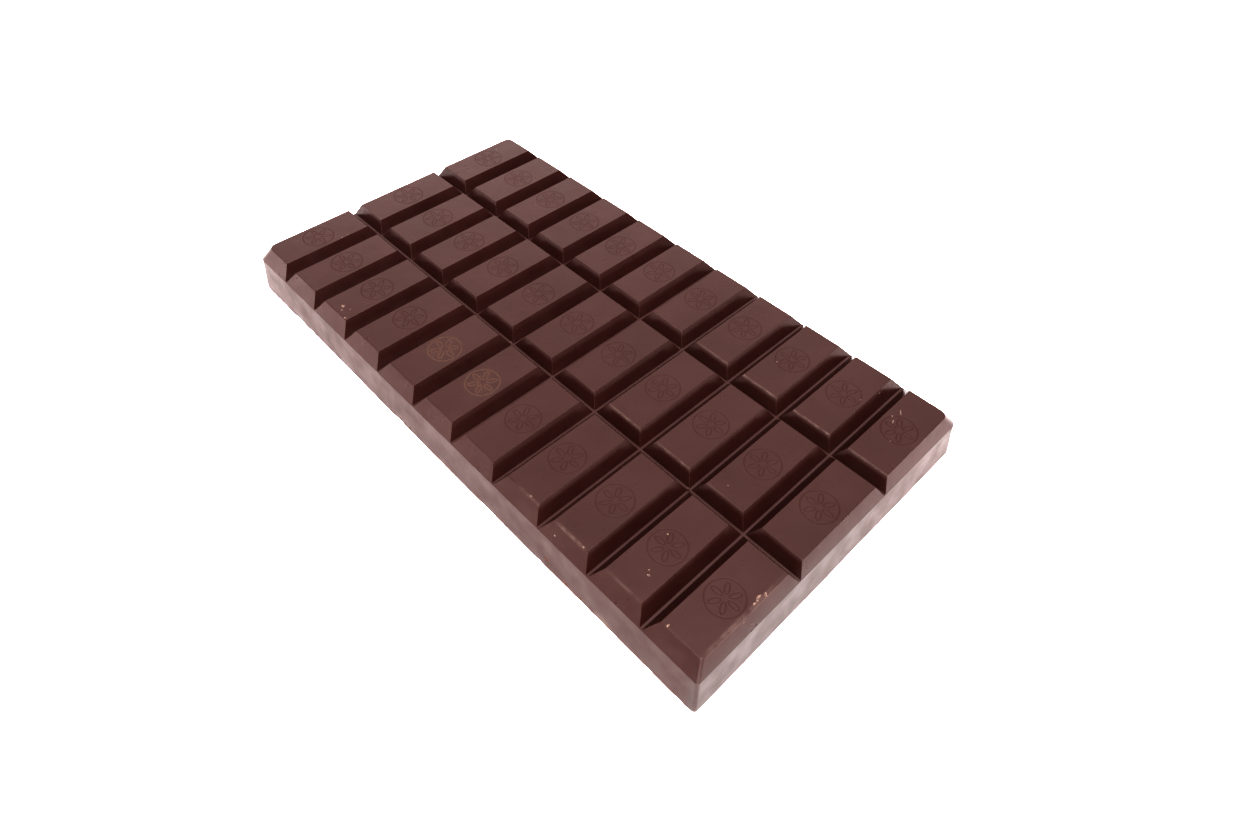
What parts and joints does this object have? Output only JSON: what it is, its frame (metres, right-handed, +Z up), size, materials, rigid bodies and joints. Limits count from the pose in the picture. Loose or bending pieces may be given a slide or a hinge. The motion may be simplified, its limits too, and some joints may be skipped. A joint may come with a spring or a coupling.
{
  "type": "chocolate bar",
  "caption": "Flat rectangular moulded bar of dark chocolate, its top scored by V grooves into oblong blocks, each with a faint round relief.",
  "frame": {"origin": "centre of the flat underside", "axes": "+X along the bar's length, +Y across its width, +Z up through the scored top"},
  "size_m": [0.127, 0.0698, 0.01],
  "materials": {
    "dark_chocolate": "satin dark brown chocolate, greyer where light grazes it"
  },
  "bodies": {
    "root": {"chocolate_bar": "dark_chocolate"}
  },
  "joints": []
}
